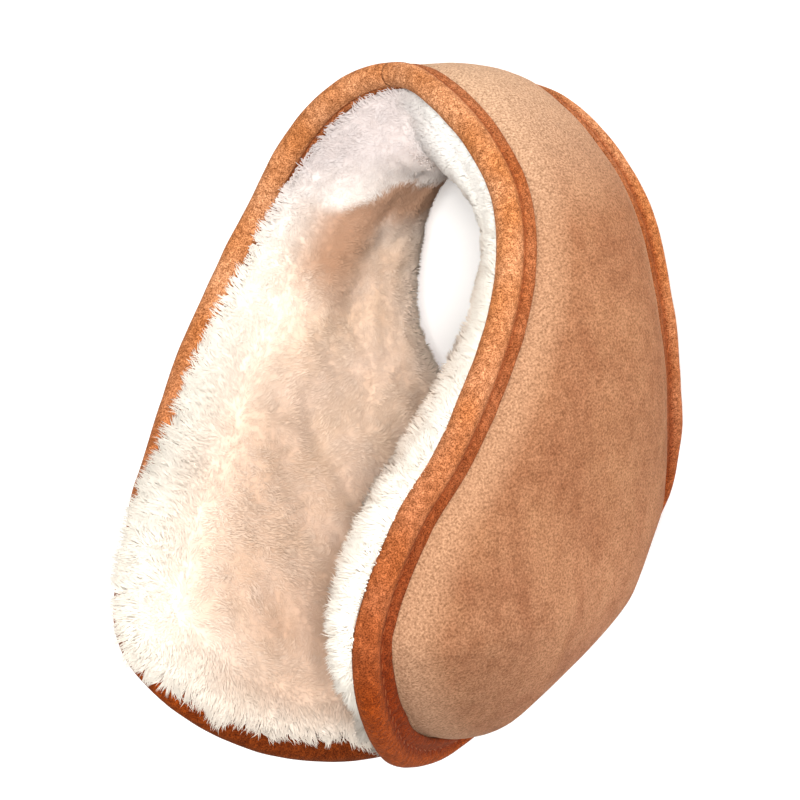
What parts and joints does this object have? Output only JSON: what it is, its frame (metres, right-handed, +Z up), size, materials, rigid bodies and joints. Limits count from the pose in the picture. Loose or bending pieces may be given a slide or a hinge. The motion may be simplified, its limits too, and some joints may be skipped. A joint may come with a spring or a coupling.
{
  "type": "wrap-round ear warmers",
  "caption": "Behind-the-head ear warmers: a springy U-shaped suede band widening into two padded ear covers, lined with deep wool pile and edged with folded binding.",
  "frame": {"origin": "on the surface it rests on, under the middle of the whole piece as it lies on its side", "axes": "+Z up from that surface, +Y from the pad tips towards the middle of the band, X from one ear pad to the other"},
  "size_m": [0.1132, 0.1596, 0.1256],
  "materials": {
    "suede": "brushed tan suede with a short mottled nap",
    "wool_pile": "deep cream wool pile in soft locks",
    "binding_tape": "orange-brown brushed woven tape, folded over the edge and stitched"
  },
  "bodies": {
    "root": {"outer_shell": "suede", "fleece_lining": "wool_pile", "edge_binding": "binding_tape"}
  },
  "joints": []
}
